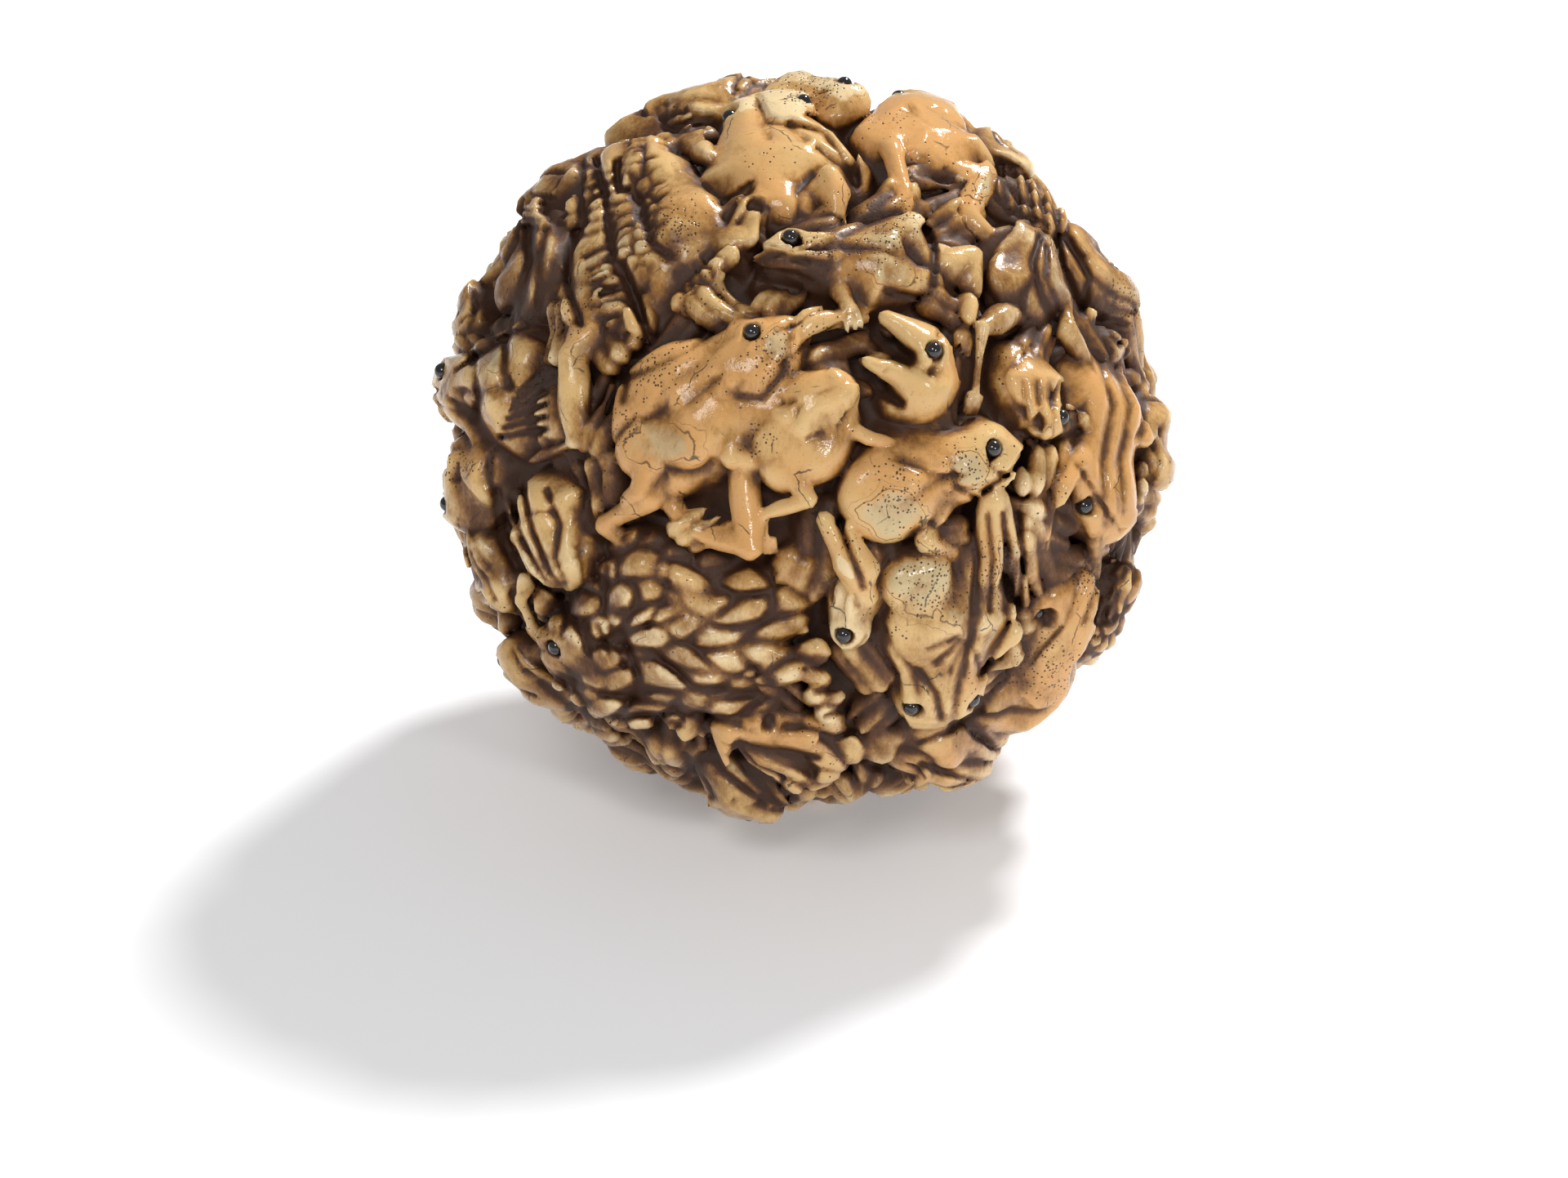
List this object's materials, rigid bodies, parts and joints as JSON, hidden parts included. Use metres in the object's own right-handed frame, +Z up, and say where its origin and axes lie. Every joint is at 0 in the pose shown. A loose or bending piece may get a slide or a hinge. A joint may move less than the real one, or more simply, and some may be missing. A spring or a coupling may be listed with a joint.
{
  "type": "okimono",
  "caption": "Carved ball of crowded frogs and toads with small black inlaid bead eyes, standing on a small worn flat.",
  "frame": {"origin": "on the worn flat under the ball, where it rests, straight below the ball's middle", "axes": "+Z up, -Y towards the viewer of the picture, +X to the viewer's right"},
  "size_m": [0.053, 0.0556, 0.0541],
  "materials": {
    "ivory": null,
    "horn": null
  },
  "bodies": {
    "root": {"back_climbing_eye_left": "horn", "back_crossing_eye_left": "horn", "back_folded_eye_right": "horn", "back_leaping_eye_right": "horn", "back_low_left_eye_right": "horn", "back_resting_eye_left": "horn", "back_smooth_eye_left": "horn", "back_smooth_eye_right": "horn", "back_toad_eye_left": "horn", "back_toad_eye_right": "horn", "backward_eye_left": "horn", "calling_eye_left": "horn", "carved_ball": "ivory", "clasping_eye_left": "horn", "crowned_eye_left": "horn", "diving_eye_left": "horn", "diving_eye_right": "horn", "facing_eye_left": "horn", "flank_left_eye_left": "horn", "flank_right_eye_left": "horn", "hiding_eye_right": "horn", "hollow_eyed_eye_right": "horn", "leaping_eye_right": "horn", "long_eye_right": "horn", "peering_eye_right": "horn", "rearing_eye_left": "horn", "resting_eye_right": "horn", "rim_low_left_eye_left": "horn", "slim_eye_left": "horn", "smooth_eye_left": "horn", "smooth_eye_right": "horn", "summit_eye_left": "horn", "under_front_eye_right": "horn", "warty_eye_right": "horn"}
  },
  "joints": []
}
